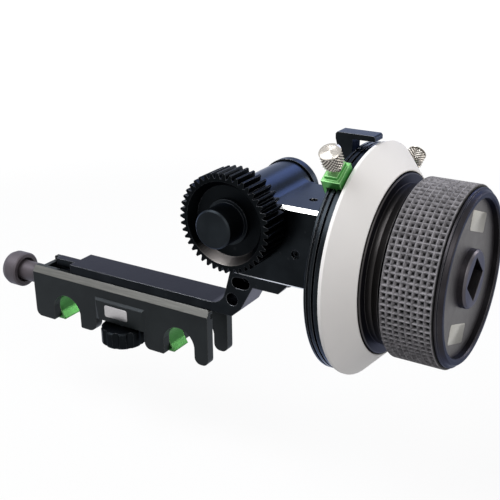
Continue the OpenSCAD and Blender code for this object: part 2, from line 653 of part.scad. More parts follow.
// teeth towards +Z, their cone's point at the origin
bevel_play = 0.3;
module bevel(bore) difference() {
    union() {
        translate([0, 0, bevel_r]) mirror([0, 0, 1]) linear_extrude(bevel_face, scale = bevel_share)
            polygon(gear_outline(bevel_teeth, bevel_module, bevel_play, 0.75 * bevel_module, 1.1 * bevel_module));
        translate([0, 0, bevel_r - 0.01]) cylinder(h = bevel_hub, r = bevel_hub_r);
    }
    translate([0, 0, -1]) cylinder(h = bevel_r + bevel_hub + 2, r = bore);
}
module wheel_bevel() color(bronze) at_x(drive_x, 0, wheel_z) rotate(90) bevel(wheel_shaft_r - 1);
module counter_bevel() color(bronze) at_y(drive_x, 0, wheel_z) rotate(180 / bevel_teeth) bevel(counter_shaft_r);
module wheel_shaft() color(silver) at_x(0, 0, wheel_z) rotate_extrude() polygon([
    [0, shaft_x0], [wheel_shaft_r - 1, shaft_x0], [wheel_shaft_r - 1, drive_x + bevel_r + bevel_hub],
    [wheel_shaft_r, drive_x + bevel_r + bevel_hub], [wheel_shaft_r, shaft_x1], [0, shaft_x1]]);

// ---- handwheel ----
module flange() color(black) turned([
    [flange_x0, wheel_shaft_r], [flange_x0, flange_r - 0.3], [flange_x0 + 0.3, flange_r],
    [flange_x0 + 1, flange_r], [flange_x0 + 1, flange_r - 0.8], [flange_x0 + 1.8, flange_r - 0.8],
    [flange_x0 + 1.8, flange_r], [groove_x, flange_r], [groove_x, groove_r],
    [groove_x + groove_w, groove_r], [groove_x + groove_w, flange_r], [flange_x1 - 0.2, flange_r],
    [flange_x1, flange_r - 0.2], [flange_x1, wheel_shaft_r]]);
module handwheel() color(black) turned([
    [flange_x1, socket_r], [flange_x1, hub_r], [hub_x1 - 0.3, hub_r],
    [hub_x1, hub_r - 0.3], [hub_x1, core_r - 0.3], [hub_x1 + neck_len * 0.4, core_r], [grip_x0 - 1, core_r + 1.4],
    [grip_x0 - 0.7, core_r], [grip_x1, core_r], [grip_x1 + 0.3, core_r + 2],
    [grip_x1 + 1, core_r + 2], [grip_x1 + 1.2, core_r + 1.3], [face_x1 - 0.4, core_r + 0.9],
    [face_x1, core_r + 0.5], [face_x1, face_r + 0.6], [face_x1 - 0.5, face_r], [face_x0 - face_plate_t, face_r],
    [face_x0 - face_plate_t, socket_r]]);
// the grip's cross-section: flutes cut into a round band
function fluted(n, r, deep) = [for (i = [0 : n - 1]) for (p = [[r, -0.28], [r, 0.28], [r - deep, 0.42], [r - deep, 0.58]])
    let(a = 360 * (i + p[1]) / n) p[0] * [cos(a), sin(a)]];
module grip() color("#4a4a4d") intersection() {
    at_x(grip_x0, 0, wheel_z) difference() {
        linear_extrude(grip_len) polygon(fluted(grip_flutes, grip_r, 0.6));
        translate([0, 0, -1]) cylinder(h = grip_len + 2, r = core_r, $fn = 128);
    }
    turned([[grip_x0, 0], [grip_x0, grip_r - 1.4], [grip_x0 + 0.9, grip_r + 0.01],
        [grip_x1 - 0.5, grip_r + 0.01], [grip_x1, grip_r - 0.8], [grip_x1, 0]]);
}
module wheel_face() color("#6e6f74") at_x(face_x0 - face_plate_t, 0, wheel_z)
    tube(face_plate_t, face_r, socket_r);
// the hub between shaft and wheel, with the square socket in its front
module socket_boss() color(black) difference() {
    turned([[flange_x1, wheel_shaft_r], [flange_x1, socket_r], [socket_x1 - 0.7, socket_r],
        [socket_x1, socket_r - 0.7], [socket_x1, 0], [shaft_x1, 0], [shaft_x1, wheel_shaft_r]]);
    at_x(socket_x0 + 1, 0, wheel_z) rotate(45)
        translate([-socket_side / 2, -socket_side / 2, 0]) cube([socket_side, socket_side, socket_depth]);
}
module magnet_places() for (a = [60 : 120 : 300]) round_wheel(a)
    at_x(flange_x1, 0, (disc_r + disc_hole_r) / 2) children();
module marking_disc() color("#eeece6") difference() {
    turned([[flange_x1, disc_hole_r], [flange_x1, disc_r - 0.2], [flange_x1 + 0.2, disc_r],
        [flange_x1 + disc_rim, disc_r], [disc_x1, disc_hole_r + 0.4], [disc_x1, disc_hole_r]]);
    magnet_places() translate([0, 0, -1]) cylinder(h = magnet_t + 1, r = magnet_r);
}
module disc_magnets() color(silver) magnet_places() cylinder(h = magnet_t, r = magnet_r);

// ---- hard stops ----
module stop_block() difference() {
    union() {
        box([stop_x0, -stop_w / 2, stop_r0], [stop_x1, stop_w / 2, stop_r1 - 1.4]);
        box([stop_x0 + 1, -stop_w / 2 + 1, stop_r1 - 1.5], [stop_x1 - 1, stop_w / 2 - 1, stop_r1]);
    }
    // the rim runs through here
    at_x(flange_x0 - part_gap, 0, 0) cylinder(h = hook_x0 - flange_x0 + part_gap, r = flange_r + part_gap, $fn = 128);
    at_x(hook_x0 - 0.1, 0, 0) cylinder(h = groove_w, r = groove_r + part_gap, $fn = 128);
    at_x(hook_x1, 0, 0) cylinder(h = flange_t, r = flange_r + part_gap, $fn = 128);
    translate([thumb_x, 0, flange_r + part_gap / 2]) cylinder(h = 10, r = thumb_screw_r + run_gap);
}
module thumb_screw() translate([thumb_x, 0, 0]) {
    translate([0, 0, flange_r + 0.35]) cylinder(h = stop_r1 - flange_r + 1, r = thumb_screw_r);
    translate([0, 0, stop_r1 + 0.1]) cylinder(h = 1.2, r = 2.2);
    translate([0, 0, stop_r1 + 1.2]) rotate_extrude() polygon([[0, 0], [thumb_r - 0.5, 0], [thumb_r, 0.5],
        [thumb_r, thumb_h - 1.8], [thumb_r - 0.3, thumb_h - 1.6], [thumb_r - 0.3, thumb_h - 0.7],
        [thumb_r - 1, thumb_h], [0, thumb_h]]);
}
module stop_left() color(green) round_wheel(stop_left_at) stop_block();
module stop_right() color(green) round_wheel(-stop_right_at) stop_block();
module stop_screw_left() color(silver) round_wheel(stop_left_at) thumb_screw();
module stop_screw_right() color(silver) round_wheel(-stop_right_at) thumb_screw();

clamp_body();
screw_sleeve();
jaw_carriage();
jaw_left();
jaw_right();
clamp_knob();
clamp_screw();
lock_knob();
lock_screw();
arm();
slide_key();
key_screws();
arm_screws();
gearbox_housing();
bottom_cover();
cover_screws();
end_cap();
drive_bearing_front();
drive_bearing_rear();
counter_bushes();
wheel_bearing_inner();
wheel_bearing_outer();
bearing_spacer();
bearing_cover();
grub_screws();
pointer();
pointer_screw();
drive_gear();
drive_shaft();
gear_nut();
drive_spur();
counter_shaft();
counter_spur();
counter_bevel();
wheel_shaft();
wheel_bevel();
flange();
handwheel();
grip();
wheel_face();
socket_boss();
marking_disc();
disc_magnets();
stop_left();
stop_right();
stop_screw_left();
stop_screw_right();
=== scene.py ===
"""Looks of a follow focus unit: finishes, knurling, fastener detail and a plain white stage."""

import json
import math

import bmesh
import bpy
from mathutils import Matrix, Vector


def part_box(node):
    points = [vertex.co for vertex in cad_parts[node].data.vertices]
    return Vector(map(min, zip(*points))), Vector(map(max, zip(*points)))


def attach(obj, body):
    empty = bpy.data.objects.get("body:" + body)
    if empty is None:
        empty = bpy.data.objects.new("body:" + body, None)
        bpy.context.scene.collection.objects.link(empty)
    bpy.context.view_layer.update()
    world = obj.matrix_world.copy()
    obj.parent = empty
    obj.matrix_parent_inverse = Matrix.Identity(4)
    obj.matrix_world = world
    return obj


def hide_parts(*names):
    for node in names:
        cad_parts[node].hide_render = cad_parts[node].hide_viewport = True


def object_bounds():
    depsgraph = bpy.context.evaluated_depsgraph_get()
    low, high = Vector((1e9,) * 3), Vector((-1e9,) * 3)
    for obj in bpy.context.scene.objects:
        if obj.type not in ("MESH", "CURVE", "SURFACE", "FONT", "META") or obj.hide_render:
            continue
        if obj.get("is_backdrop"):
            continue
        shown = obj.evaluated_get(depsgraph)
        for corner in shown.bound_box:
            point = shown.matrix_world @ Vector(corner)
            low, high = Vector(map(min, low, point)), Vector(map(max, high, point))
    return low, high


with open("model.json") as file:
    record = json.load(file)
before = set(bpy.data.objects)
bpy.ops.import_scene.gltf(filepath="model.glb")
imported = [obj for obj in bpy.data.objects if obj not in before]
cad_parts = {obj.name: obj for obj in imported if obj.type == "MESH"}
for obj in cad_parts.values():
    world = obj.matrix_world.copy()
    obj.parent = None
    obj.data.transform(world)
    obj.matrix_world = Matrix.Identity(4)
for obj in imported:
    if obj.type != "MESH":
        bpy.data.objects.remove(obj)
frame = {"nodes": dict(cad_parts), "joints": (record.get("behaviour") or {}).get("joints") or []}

bl_info = {
    "name": "Follow focus looks",
    "version": (1, 0, 0),
    "blender": (4, 5, 0),
    "location": "3D View > Sidebar > Follow focus",
    "description": "Finishes and fine detail of a follow focus unit",
    "category": "Object",
}

MM = 0.001
WHITE = (1, 1, 1)
FULL_TURN = 2 * math.pi

# the photo's camera, solved from the rod arches, the gear, the wheel and the box
CAMERA_SPOT = (0.225304, -0.265787, 0.169179)
CAMERA_RIGHT = (0.84957, 0.52737, -0.01035)
CAMERA_UP = (-0.18739, 0.32009, 0.92867)
CAMERA_BACK = (0.49307, -0.78703, 0.37076)
FOCAL_PIXELS = 896.04
FRAME_PIXELS = 500
SENSOR_MM = 36

# name, place from the part's middle, side, power, colour
LAMPS = (
    ("key lamp", (-0.3, -0.3, 0.64), 0.5, 5.9, (0.97, 0.98, 1.0)),
    ("fill lamp", (0.62, -0.4, 0.52), 0.55, 2.8, (1.0, 0.97, 0.94)),
    ("back lamp", (0.0, 0.62, 0.47), 0.3, 1.0, (0.46, 0.58, 1.0)),
    ("rear side lamp", (0.46, 0.63, 0.19), 0.2, 1.3, (1.0, 0.94, 0.86)),
)
FLOOR_REACH = 6         # metres from its middle to each side
FLOOR_GREY = (0.3, 0.3, 0.3)
FLOOR_GLOW = 1.15
FLOOR_NEAR = 0.3        # metres out where the shadow starts to fade
FLOOR_FAR = 0.8         # metres out where it is gone

# tints of a black finish where it is seen at a low angle
BLUE_TINT = (0.72, 0.79, 1.0)
ARM_TINT = (0.74, 0.75, 0.86)
WHEEL_TINT = (0.5, 0.53, 0.64)
SATIN_TINT = (0.62, 0.64, 0.7)
PLATE_TINT = (0.85, 0.9, 1.0)
JAW_TINT = (0.7, 1, 0.7)

GRIP_WALL = 2.6 * MM
GRIP_RIM = 0.35 * MM        # smooth rim beside the pits

KNURL_AROUND = 38           # points of a thumb screw's knurl in one ring
KNURL_RINGS = 11
KNURL_PITCH = 0.62 * MM     # from ring to ring
KNURL_DEPTH = 0.5 * MM
KNURL_TAPER = (0.7, 0.86, 0.95)     # shares of the radius at the first rings
HEAD_LENGTH = 7 * MM
HEAD_DOME = ((0.06, 0.52), (0.25, 0.3), (0.8, 0.1), (1.6, 0))   # mm from its side and end
STEM_RADIUS = 1.5 * MM
COLLAR_RADIUS = 2.2 * MM

PLATE_CORNER = 0.9 * MM
BOSS_PLATE_SPOT = (-1.4 * MM, 6.6 * MM)     # x and z of its middle
BOSS_PLATE_SIZE = (12.0 * MM, 0.18 * MM, 5.2 * MM)
BOSS_PLATE_RISE = 0.04 * MM     # how far its middle lies outside the boss's face
FACE_PLATE_SPOT = (6.7 * MM, 17.6 * MM)     # y and z of its middle from the wheel's axis
FACE_PLATE_SIZE = (0.12 * MM, 15.6 * MM, 6.8 * MM)
FACE_PLATE_RISE = 0.03 * MM     # how far its middle lies outside the wheel's face
FACE_PLATE_TURN = math.radians(-20.5)

SHARP_ANGLE = math.radians(32)


# ---------------------------------------------------------------- finishes

class Wire:
    """A shader socket that can be written into sums."""

    def __init__(self, graph, socket):
        self.graph = graph
        self.socket = socket

    def __add__(self, other):
        return self.graph.sum("ADD", self, other)

    def __sub__(self, other):
        return self.graph.sum("SUBTRACT", self, other)

    def __mul__(self, other):
        return self.graph.sum("MULTIPLY", self, other)

    def __rsub__(self, other):
        return self.graph.sum("SUBTRACT", other, self)

    __radd__ = __add__
    __rmul__ = __mul__

    def between(self, low, high):
        """0 below low, 1 above high, smooth from one to the other."""
        return self.graph.node(
            "ShaderNodeMapRange", {"interpolation_type": "SMOOTHSTEP"},
            {"Value": self, "From Min": low, "From Max": high})

    def size(self):
        return self.graph.sum("ABSOLUTE", self, 0)

    def sine(self):
        return self.graph.sum("SINE", self, 0)


class Graph:
    """A node tree that is being put together, a material's or the world's."""

    def __init__(self, tree, end):
        self.tree = tree
        tree.nodes.clear()
        self.end = tree.nodes.new(end).inputs["Surface"]

    def feed(self, socket, value):
        """Links a wire to the socket, or writes a number or colour on it."""
        if isinstance(value, Wire):
            self.tree.links.new(value.socket, socket)
        elif hasattr(socket.default_value, "__len__") and len(socket.default_value) == 4:
            socket.default_value = (*value[:3], 1)
        else:
            socket.default_value = value

    def node(self, kind, settings=None, inputs=None, out=0):
        """One output of a new node, whose settings come before its sockets."""
        made = self.tree.nodes.new(kind)
        for name, value in (settings or {}).items():
            setattr(made, name, value)
        for name, value in (inputs or {}).items():
            self.feed(made.inputs[name], value)
        return Wire(self, made.outputs[out])

    def sum(self, how, a, b):
        return self.node("ShaderNodeMath", {"operation": how}, {0: a, 1: b})

    def looked_at(self):
        """1 where a ray comes from the camera, a reflection or through glass, 0 for the rest."""
        total = self.node("ShaderNodeLightPath", out="Is Camera Ray")
        for ray in ("Is Glossy Ray", "Is Transmission Ray"):
            total = self.sum("MAXIMUM", total, self.node("ShaderNodeLightPath", out=ray))
        return total

    def glow(self, kind, strength):
        """A white background or emission of some strength."""
        return self.node(kind, {}, {"Color": WHITE, "Strength": strength})

    def blend(self, share, a, b):
        """Ends the tree with shader a where share is 0 and shader b where it is 1."""
        self.feed(self.end, self.node("ShaderNodeMixShader", {}, {0: share, 1: a, 2: b}))


class Finish(Graph):
    """A material that is being put together round one Principled shader."""

    def __init__(self, name):
        self.material = bpy.data.materials.new(name)
        self.material.use_nodes = True
        super().__init__(self.material.node_tree, "ShaderNodeOutputMaterial")
        self.place = self.node("ShaderNodeTexCoord", out="Object")

    def mix(self, share, a, b):
        """Colour a where share is 0, colour b where it is 1."""
        return self.node("ShaderNodeMix", {"data_type": "RGBA"}, {0: share, 6: a, 7: b}, out=2)

    def mottled(self, cloud, colour):
        """The colour, a fifth darker or lighter as a noise goes."""
        return self.mix(cloud.between(0.35, 0.7), darker(colour, 0.8), darker(colour, 1.2))

    def part(self, vector, axis):
        """The number that a vector has on one axis."""
        return self.node("ShaderNodeSeparateXYZ", {}, {"Vector": vector}, out=axis)

    def along(self, axis):
        """A point's place along an axis, in metres."""
        return self.part(self.place, axis)

    def lean(self, axis):
        """How far the flat surface itself faces along an axis, from -1 to 1."""
        return self.part(self.node("ShaderNodeNewGeometry", out="True Normal"), axis)

    def away(self, a, b):
        """Distance from an axis, out of the distances along the two others."""
        return self.sum("SQRT", a * a + b * b, 0)

    def value(self, name):
        """A value that the mesh itself carries."""
        return self.node("ShaderNodeAttribute", {"attribute_name": name}, out="Fac")

    def noise(self, scale, detail, stretch=None):
        where = self.place
        if stretch:
            where = self.node("ShaderNodeMapping", {}, {"Vector": self.place, "Scale": stretch})
        return self.node("ShaderNodeTexNoise", {}, {
            "Vector": where, "Scale": scale, "Detail": detail})

    def rounded(self, radius):
        """The normal that rounds the object's edges."""
        return self.node("ShaderNodeBevel", {"samples": 6}, {"Radius": radius})

    def edges(self, radius):
        """1 on the object's edges, 0 on its open faces, and the normal that rounds those edges."""
        soft = self.rounded(radius)
        hard = self.node("ShaderNodeNewGeometry", out="Normal")
        dot = self.node(
            "ShaderNodeVectorMath", {"operation": "DOT_PRODUCT"}, {0: soft, 1: hard}, out="Value")
        return (1 - dot).between(0.05, 0.3), soft

    def bump(self, height, depth, normal=None):
        """A normal with relief of a depth in metres, on top of another normal if one is given."""
        inputs = {"Height": height, "Distance": depth}
        if normal is not None:
            inputs["Normal"] = normal
        return self.node("ShaderNodeBump", {}, inputs)

    def set(self, **values):
        """Gives the material its Principled shader and hands the material back."""
        inputs = {name.replace("_", " "): value for name, value in values.items()}
        self.shader = self.node("ShaderNodeBsdfPrincipled", {}, inputs)
        self.feed(self.end, self.shader)
        return self.material


def darker(colour, by):
    """The colour times a share, which may be over 1."""
    return tuple(c * by for c in colour[:3])


def anodised(name, colour, edge, rough=0.3, metal=1.0, grain=0.008 * MM, tint=BLUE_TINT,
             bare=None, cone_highlight=None, band=None, painted_top_light=0, edge_width=0.3 * MM):
    """Anodised aluminium: a fine even grain, faint cloudiness and rounded edges painted
    lighter, partly as wear and partly as a painted highlight.

    Its reflection takes the tint where it is seen at a low angle. With bare, the cut bevels
    that run along x show bare metal. With cone, the turned, conical wall that opens towards -y
    takes that colour as a painted highlight where it faces up. With band (colour, from, to), a
    stretch along x has a colour of its own. With lit, faces that look up take that share of the
    edges' colour as painted light from above."""
    f = Finish(name)
    worn, soft = f.edges(edge_width)
    cloud = f.noise(scale=90, detail=4)
    fine = f.noise(scale=5200, detail=2)
    scuffs = f.noise(scale=420, detail=5, stretch=(1, 5, 1)).between(0.66, 0.74)
    # edges painted lighter, partly as wear and partly as a painted highlight; the scuffs are wear
    base = f.mix(worn * 0.8 + scuffs * 0.06, f.mottled(cloud, colour), edge)
    # painted light from above: faces that look up are mixed towards the lighter edge colour
    if painted_top_light:
        base = f.mix(f.lean("Z").between(0.3, 0.8) * painted_top_light, base, edge)
    if bare:
        lean = f.lean("Y").size()
        cut = lean.between(0.45, 0.6) * (1 - lean.between(0.8, 0.92))
        base = f.mix(cut, base, bare)
    if band:
        shade, start, end = band
        soften = 0.2 * MM
        x = f.along("X")
        inside = x.between(start, start + soften) * (1 - x.between(end - soften, end))
        base = f.mix(inside, base, shade)
    # painted highlight: the conical wall is lighter where it slopes and faces up
    if cone_highlight:
        out = 0 - f.lean("Y")
        sloped = out.between(0.4, 0.5) * (1 - out.between(0.6, 0.7))
        base = f.mix(sloped * f.lean("Z").between(0.5, 0.8), base, cone_highlight)
    return f.set(
        Base_Color=base,
        Roughness=rough + (cloud - 0.5) * 0.12 + (fine - 0.5) * 0.1,
        Metallic=metal,
        Specular_Tint=tint,
        Normal=f.bump(fine, grain, soft))


def clamp_finish(colours):
    """Blasted black plates whose top bevels show as light strips."""
    f = Finish("blasted clamp plates")
    worn, soft = f.edges(0.35 * MM)
    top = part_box("clamp_body")[1].z
    blast = f.noise(scale=3600, detail=3)
    cloud = f.noise(scale=70, detail=4)
    lean = f.lean("Z")
    sloped = lean.between(0.25, 0.35) * (1 - lean.between(0.9, 0.97))
    strip = sloped * f.along("Z").between(top - 3.2 * MM, top - 2.6 * MM)
    brushed = f.noise(scale=260, detail=4, stretch=(0.4, 6, 6)).between(0.3, 0.7)
    light = f.mix(brushed, darker(colours.strip, 0.86), darker(colours.strip, 1.1))
    # edges painted lighter, partly as wear and partly as a painted highlight
    edged = f.mix(worn * 0.8, f.mottled(cloud, colours.plate), colours.plate_edge)
    return f.set(
        Base_Color=f.mix(strip, edged, light),
        Roughness=0.42 + (blast - 0.5) * 0.16 - strip * 0.06,
        Metallic=0.7,
        Specular_Tint=PLATE_TINT,
        Normal=f.bump(blast, 0.014 * MM, soft))


def turned_metal(name, colour, height):
    """Metal that shows the fine rings of a lathe about an axis along x at y 0 and a height."""
    f = Finish(name)
    worn, soft = f.edges(0.2 * MM)
    away = f.away(f.along("Y"), f.along("Z") - height)
    rings = (away * (FULL_TURN / (0.22 * MM))).sine()
    drift = f.noise(scale=300, detail=3)
    return f.set(
        # lighter towards the edges, partly as wear and partly as a painted highlight, with a
        # random drift in tone
        Base_Color=f.mix(worn * 0.5 + (drift - 0.5) * 0.3, colour, darker(colour, 1.8)),
        Roughness=0.42 + rings * 0.03 + (drift - 0.5) * 0.15,
        Metallic=0.8,
        Normal=f.bump(rings, 0.004 * MM, soft))


def rubber(name, low, high):
    """Dull grip material: pits painted dark as shade, unevenly worn ridges and dust on them."""
    f = Finish(name)
    crest = f.value("crest")
    dust = f.noise(scale=1300, detail=4)
    fine = f.noise(scale=4200, detail=3)
    worn = f.noise(scale=620, detail=2).between(0.38, 0.62)
    ridge = f.mix(worn, darker(high, 0.6), darker(high, 1.1))
    dusty = dust.between(0.4, 0.75) * crest.between(0.3, 0.9) * 0.5
    return f.set(
        # the pits take the dark low colour as painted shade, the ridges their worn and dusty
        # colour
        Base_Color=f.mix(dusty, f.mix(crest.between(0.2, 0.85), low, ridge), darker(high, 1.6)),
        Roughness=0.62 + (fine - 0.5) * 0.3,
        Specular_IOR_Level=0.12,
        Normal=f.bump(fine, 0.03 * MM))


def marking_white(name, colour):
    """Matte plastic that can be written on: faint smudges and a fine moulded grain."""
    f = Finish(name)
    smudge = f.noise(scale=55, detail=5)
    fine = f.noise(scale=3000, detail=3)
    return f.set(
        Base_Color=f.mix(smudge.between(0.5, 0.8) * 0.25, colour, darker(colour, 0.9)),
        Roughness=0.5 + (fine - 0.5) * 0.12,
        Specular_IOR_Level=0.3,
        Normal=f.bump(fine, 0.006 * MM, f.rounded(0.25 * MM)))


def bright_metal(name, colour, rough, grain=0.004 * MM):
    """Bare metal with a fine grain that runs one way."""
    f = Finish(name)
    streak = f.noise(scale=700, detail=4, stretch=(1, 1, 6))
    return f.set(
        Base_Color=f.mix(streak.between(0.3, 0.75), darker(colour, 0.8), colour),
        Roughness=rough + (streak - 0.5) * 0.16,
        Metallic=0.95,
        Normal=f.bump(streak, grain, f.rounded(0.2 * MM)))


def nickel(name, colour):
    """Nickel plate: the cuts of a knurl painted dark as shade, with fine turned rings on a flat
    end.
    """
    f = Finish(name)
    rings = (f.value("away") * (FULL_TURN / (0.16 * MM))).sine()
    film = f.noise(scale=500, detail=4)
    tone = f.mix(film.between(0.35, 0.7), darker(colour, 0.92), colour)
    return f.set(
        # painted shade: the knurl's cuts take a much darker colour than its crests
        Base_Color=f.mix(f.value("crest").between(0.05, 0.6), darker(colour, 0.22), tone),
        Roughness=0.22 + (film - 0.5) * 0.05,
        Metallic=0.95,
        Normal=f.bump(rings, 0.006 * MM))


# ---------------------------------------------------------------- modelling

def placed(name, data):
    """A new object of the scene."""
    obj = bpy.data.objects.new(name, data)
    bpy.context.scene.collection.objects.link(obj)
    return obj


def mesh_of(bm, name):
    """Ends a bmesh as a mesh."""
    mesh = bpy.data.meshes.new(name)
    bm.to_mesh(mesh)
    bm.free()
    return mesh


def piece(bm, name, body, material, replaces=()):
    """Ends a bmesh as a named object that moves with a body and may stand for solids."""
    bmesh.ops.remove_doubles(bm, verts=bm.verts, dist=1e-7)
    bmesh.ops.recalc_face_normals(bm, faces=bm.faces)
    mesh = mesh_of(bm, name)
    mesh.shade_smooth()
    mesh.set_sharp_from_angle(angle=SHARP_ANGLE)
    obj = placed(name, mesh)
    mesh.materials.append(material)
    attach(obj, body)
    if replaces:
        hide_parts(*replaces)


def dress(material, *nodes):
    """Gives solids of the frame a material."""
    for node in nodes:
        mesh = frame["nodes"][node].data
        mesh.materials.clear()
        mesh.materials.append(material)


def joint(name):
    return next(j for j in frame["joints"] if j["name"] == name)


def line_of(bm, points):
    """Vertices and edges of an open line through (radius, height) points."""
    verts = [bm.verts.new((r, 0, h)) for r, h in points]
    return verts + [bm.edges.new(pair) for pair in zip(verts, verts[1:])]


def spin(bm, geom, angle, steps, **how):
    """Turns geometry about local z, in steps."""
    bmesh.ops.spin(
        bm, geom=geom, cent=(0, 0, 0), axis=(0, 0, 1), angle=angle, steps=steps, **how)


def lathe(bm, outline, steps):
    """Spins an outline of (radius, height) about local z into a closed round solid."""
    spin(bm, line_of(bm, outline), FULL_TURN, steps, use_merge=True, use_duplicate=False)
    bmesh.ops.remove_doubles(bm, verts=bm.verts, dist=1e-6)


def rounded_edges(bm, edges, offset, segments):
    bmesh.ops.bevel(bm, geom=edges, offset=offset, offset_type="OFFSET", segments=segments,
                    profile=0.5, affect="EDGES", material=-1)


def plain_plate(name, body, material, centre, size, face, turn=0.0):
    """A thin bare plate with rounded corners, facing x or y and turned about that axis."""
    bm = bmesh.new()
    bmesh.ops.create_cube(bm, size=1)
    bmesh.ops.scale(bm, vec=size, verts=bm.verts)
    thin = "XY".index(face)
    corners = [e for e in bm.edges
               if abs((e.verts[0].co - e.verts[1].co)[thin]) > 0.5 * size[thin]]
    rounded_edges(bm, corners, PLATE_CORNER, 5)
    rounded_edges(bm, bm.edges[:], min(size) * 0.3, 2)
    bm.transform(Matrix.Translation(centre) @ Matrix.Rotation(turn, 4, face))
    piece(bm, name, body, material)


def grip_mesh(outer, wide, sizes):
    """The grip about local z: rows of pits between crossing ridges, and a smooth bore."""
    rows, columns = sizes.knurl_rows, sizes.knurl_columns
    turn = FULL_TURN / rows
    pitch = (wide - 2 * GRIP_RIM) / columns
    bore = outer - GRIP_WALL
    bm = bmesh.new()
    crest = bm.verts.layers.float.new("crest")
    line = line_of(bm, [(outer, GRIP_RIM + pitch * i) for i in range(columns + 1)])
    spin(bm, line, turn, 1)
    bmesh.ops.recalc_face_normals(bm, faces=bm.faces)
    if sum(f.normal.x for f in bm.faces) < 0:
        bmesh.ops.reverse_faces(bm, faces=bm.faces)
    cells = list(bm.faces)
    bmesh.ops.inset_individual(bm, faces=cells, thickness=sizes.ridge / 2)
    for v in bm.verts:
        v[crest] = 1
    for v in bmesh.ops.poke(bm, faces=cells, offset=-sizes.pit_depth)["verts"]:
        v[crest] = 0
    everything = bm.verts[:] + bm.edges[:] + bm.faces[:]
    spin(bm, everything, FULL_TURN - turn, rows - 1, use_duplicate=True)
    lathe(bm, [(outer, GRIP_RIM), (outer - GRIP_RIM, 0), (bore, 0), (bore, wide),
               (outer - 0.5 * MM, wide), (outer, wide - GRIP_RIM)], rows)
    for v in bm.verts:
        if v[crest] == 0 and v.co.xy.length > outer - 0.1 * MM:
            v[crest] = 1
    return bm


def thumb_screw_mesh(bottom, top, head):
    """A thumb screw along local z: stem, collar, crossed knurl and a domed end."""
    foot = top - HEAD_LENGTH
    knurl_top = foot + KNURL_PITCH * (KNURL_RINGS - 1)
    base = head - KNURL_DEPTH
    shares = KNURL_TAPER + (1,) * (KNURL_RINGS - len(KNURL_TAPER))
    bm = bmesh.new()
    crest = bm.verts.layers.float.new("crest")
    away = bm.verts.layers.float.new("away")
    lathe(bm, [(base * share, foot + KNURL_PITCH * i) for i, share in enumerate(shares)],
          KNURL_AROUND)
    for v in bm.verts:
        ring = round((v.co.z - foot) / KNURL_PITCH)
        step = round(math.atan2(v.co.y, v.co.x) / (FULL_TURN / KNURL_AROUND))
        if 0 < ring < KNURL_RINGS - 1 and (ring + step) % 2:
            v.co.xy *= 1 + KNURL_DEPTH / base
            v[crest] = 1
    bmesh.ops.triangulate(bm, faces=bm.faces, quad_method="SHORT_EDGE")
    lathe(bm, [(0, bottom), (STEM_RADIUS, bottom), (STEM_RADIUS, foot - 1.2 * MM),
               (COLLAR_RADIUS, foot - 1.1 * MM), (COLLAR_RADIUS, foot),
               (base * shares[0], foot)], KNURL_AROUND)
    dome = [(head - side * MM, top - down * MM) for side, down in HEAD_DOME]
    lathe(bm, [(base, knurl_top), (head - 0.1 * MM, knurl_top + 0.12 * MM), *dome, (0, top)],
          KNURL_AROUND)
    for v in bm.verts:
        v[away] = v.co.xy.length
        if not foot - 0.05 * MM <= v.co.z <= knurl_top + 0.05 * MM:
            v[crest] = 1
    return bm


# ---------------------------------------------------------------- settings

def colour(name, description, default):
    return bpy.props.FloatVectorProperty(
        name=name, description=description, subtype="COLOR", size=3, min=0, max=1,
        default=default)


def length(name, description, default):
    return bpy.props.FloatProperty(
        name=name, description=description, subtype="DISTANCE", unit="LENGTH", min=0,
        default=default)


class FocusColours(bpy.types.PropertyGroup):
    black: colour("Black anodising", "Arm, gearbox, gear and flange", (0.010, 0.012, 0.014))
    # edge colours: partly wear, partly a painted highlight on the edges
    black_edge: colour("Black edges", "Edges of the black pieces", (0.16, 0.165, 0.18))
    plate: colour("Clamp plates", "Blasted black of the rod clamp", (0.0098, 0.0121, 0.0126))
    plate_edge: colour("Clamp edges", "Edges of the rod clamp", (0.11, 0.115, 0.11))
    strip: colour("Light strips", "Top bevels of the clamp plates", (0.12, 0.12, 0.112))
    bare: colour("Bare bevels", "Cut edges of the gearbox", (0.82, 0.82, 0.8))
    green: colour("Green anodising", "Jaws and stops", (0.07, 0.34, 0.07))
    # light green of the green edges, also used as painted light on the stops' upward faces
    green_edge: colour("Green edges", "Edges of the green pieces", (0.5, 0.85, 0.42))
    wheel: colour("Handwheel", "Rim and hub of the handwheel", (0.030, 0.028, 0.031))
    neck: colour("Neck", "Turned neck between disc and grip", (0.05, 0.047, 0.047))
    # colour of a painted highlight on the gear's cone, where it faces up
    cone_highlight: colour("Gear cone", "Polished cone round the gear's dish", (0.2, 0.185, 0.175))
    white: colour("Marking disc", "Disc that takes the focus marks", (0.87, 0.855, 0.845))
    # pits painted near black as shade
    grip_pit_shade: colour("Grip pits", "Pits of the handwheel's band", (0.012, 0.012, 0.013))
    grip_high: colour("Grip ridges", "Ridges of the handwheel's band", (0.225, 0.218, 0.232))
    face: colour("Wheel face", "Plate inside the handwheel's dish", (0.06, 0.057, 0.063))
    nickel: colour("Nickel", "Thumb screws of the stops", (0.5, 0.47, 0.43))
    knob: colour("Knob", "Clamp knob and its sleeve", (0.075, 0.064, 0.07))
    badge: colour("Boss plate", "Plain plate on the clamp's boss", (0.5, 0.49, 0.5))
    inlay: colour("Face plates", "Plain plates on the wheel's face", (0.42, 0.41, 0.38))
    steel: colour("Steel", "Shafts, bearings and screws", (0.5, 0.5, 0.51))
    screw: colour("Black screw", "Screw of the pointer", (0.02, 0.02, 0.022))
    screw_edge: colour("Black screw edges", "Edges of that screw", (0.2, 0.2, 0.21))
    aluminium: colour("Aluminium", "Key under the arm and spacer", (0.6, 0.6, 0.61))
    brass: colour("Brass", "Gears inside the box", (0.7, 0.5, 0.2))
    bronze: colour("Bronze", "Bushes of the counter shaft", (0.42, 0.26, 0.12))


